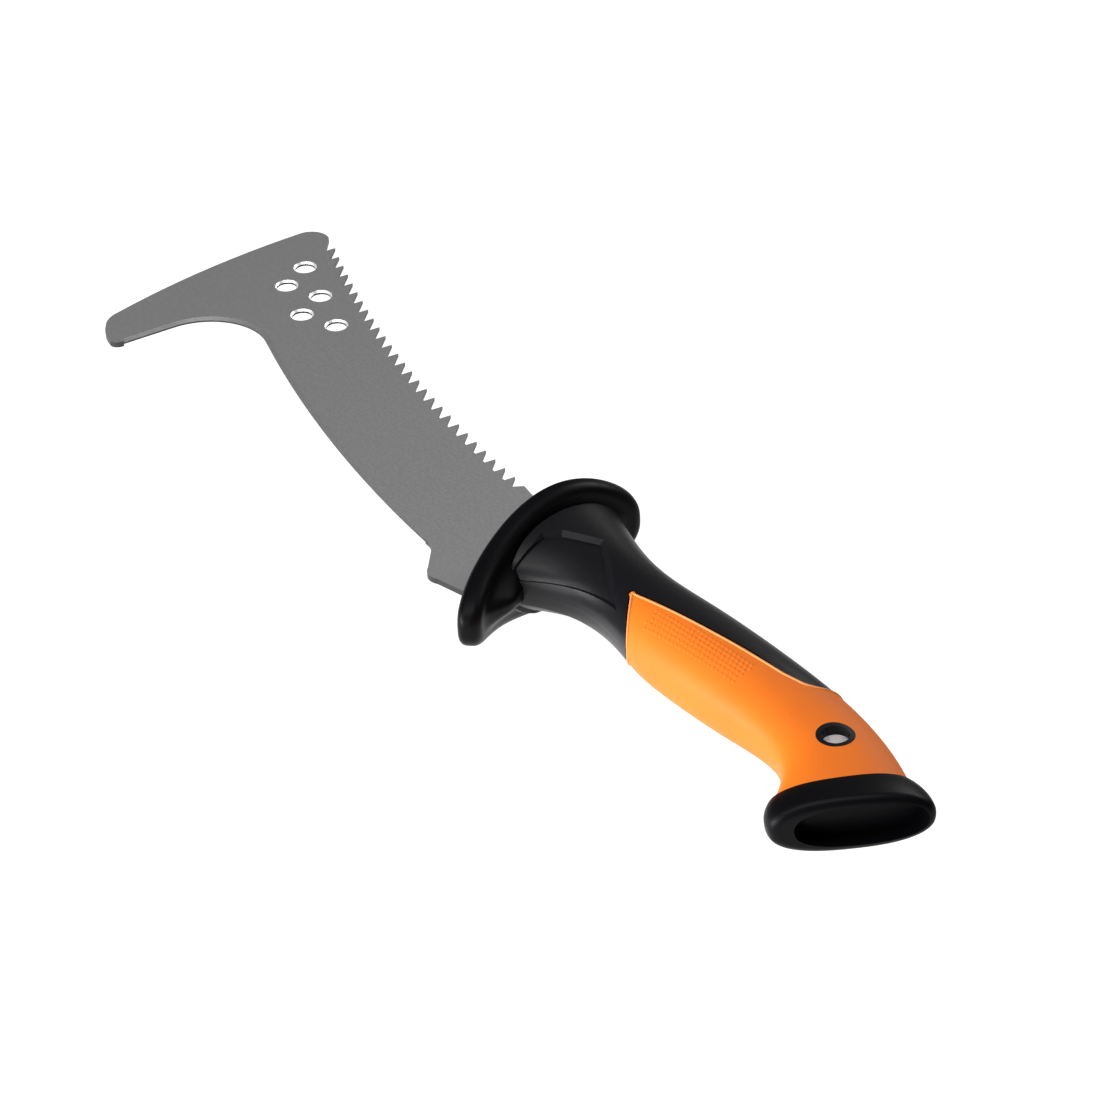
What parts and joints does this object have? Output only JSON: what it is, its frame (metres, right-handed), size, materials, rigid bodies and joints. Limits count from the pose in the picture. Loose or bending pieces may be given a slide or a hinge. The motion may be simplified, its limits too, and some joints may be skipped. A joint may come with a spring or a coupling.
{
  "type": "clearing hook with saw spine",
  "caption": "Fixed-blade clearing hook: curved beak with bevelled throat, saw-toothed spine, bowed hand guard, two-material pistol grip and recessed pommel with hang hole.",
  "frame": {"origin": "centre of the hang hole, on the middle plane of the blade", "axes": "+X from the hang hole towards the blade's far end, +Y towards the hooked cutting edge, +Z normal to the blade and along the hang hole"},
  "size_m": [0.4114, 0.1233, 0.041],
  "materials": {
    "blade_steel": "satin ground and polished steel",
    "pin_steel": "plain drawn steel",
    "black_nylon": "satin moulded black",
    "black_rubber": "fine matt soft-touch black",
    "orange_grip": "soft-touch orange with fine stipple"
  },
  "bodies": {
    "root": {"blade": "blade_steel", "tang": "blade_steel", "handle_core": "black_nylon", "guard_flange": "black_rubber", "grip_cover": "orange_grip", "pommel_cap": "black_rubber", "hang_hole_tube": "pin_steel", "tang_pin_rear": "pin_steel", "tang_pin_middle": "pin_steel", "tang_pin_front": "pin_steel"}
  },
  "joints": []
}
